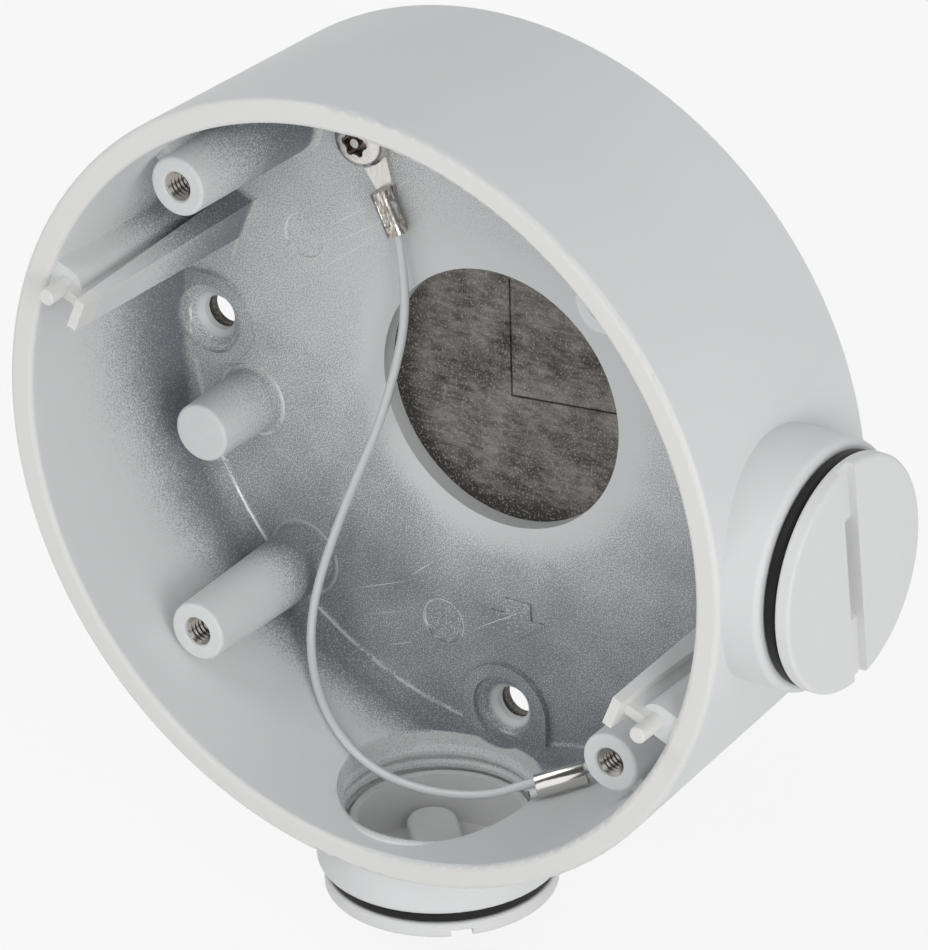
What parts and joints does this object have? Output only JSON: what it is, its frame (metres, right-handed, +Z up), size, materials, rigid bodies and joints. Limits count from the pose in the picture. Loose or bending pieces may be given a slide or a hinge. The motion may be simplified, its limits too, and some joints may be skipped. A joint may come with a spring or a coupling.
{
  "type": "camera junction box",
  "caption": "Round cast wall junction box for a dome camera, with slotted plugs in its side and bottom cable ports, a foam back gasket and a safety lanyard.",
  "frame": {"origin": "centre of the round back, on the plane that meets the wall", "axes": "+Z up as mounted on a wall, -Y out of the open mouth, +X towards the side port, -Z towards the bottom port"},
  "size_m": [0.1163, 0.0403, 0.1163],
  "materials": {
    "cast_body": "light grey powder coat, thin inside",
    "plug_plastic": "moulded, semi-matt",
    "seal_rubber": "black, smooth",
    "foam": "closed-cell foam sheet",
    "plated_steel": "bright nickel plate",
    "tinned_copper": "tin plate",
    "coated_cable": "steel strands in a clear coat"
  },
  "bodies": {
    "housing": {"housing": "cast_body", "back_gasket": "foam", "lanyard_screw": "plated_steel", "ring_terminal": "tinned_copper", "lanyard_cable": "coated_cable", "crimp_sleeve": "plated_steel"},
    "side_seal": {"side_seal": "seal_rubber"},
    "side_plug": {"side_plug": "plug_plastic"},
    "bottom_seal": {"bottom_seal": "seal_rubber"},
    "bottom_plug": {"bottom_plug": "plug_plastic"}
  },
  "joints": [
    {"name": "side_plug_lift", "type": "slide", "parent": "housing", "child": "side_seal", "axis": [1, 0, 0], "range_m": [0, 0.00545]},
    {"name": "side_plug_turn", "type": "hinge", "parent": "side_seal", "child": "side_plug", "pos_m": [0.0605, -0.0199, 0], "axis": [1, 0, 0], "range_deg": [0, 1080]},
    {"name": "bottom_plug_lift", "type": "slide", "parent": "housing", "child": "bottom_seal", "axis": [0, 0, -1], "range_m": [0, 0.00545]},
    {"name": "bottom_plug_turn", "type": "hinge", "parent": "bottom_seal", "child": "bottom_plug", "pos_m": [0, -0.0199, -0.0605], "axis": [0, 0, -1], "range_deg": [0, 1080]}
  ],
  "couplings": [
    {"joint": "side_plug_lift", "follows": "side_plug_turn", "m_per_rad": 0.00028871},
    {"joint": "bottom_plug_lift", "follows": "bottom_plug_turn", "m_per_rad": 0.00028871}
  ]
}
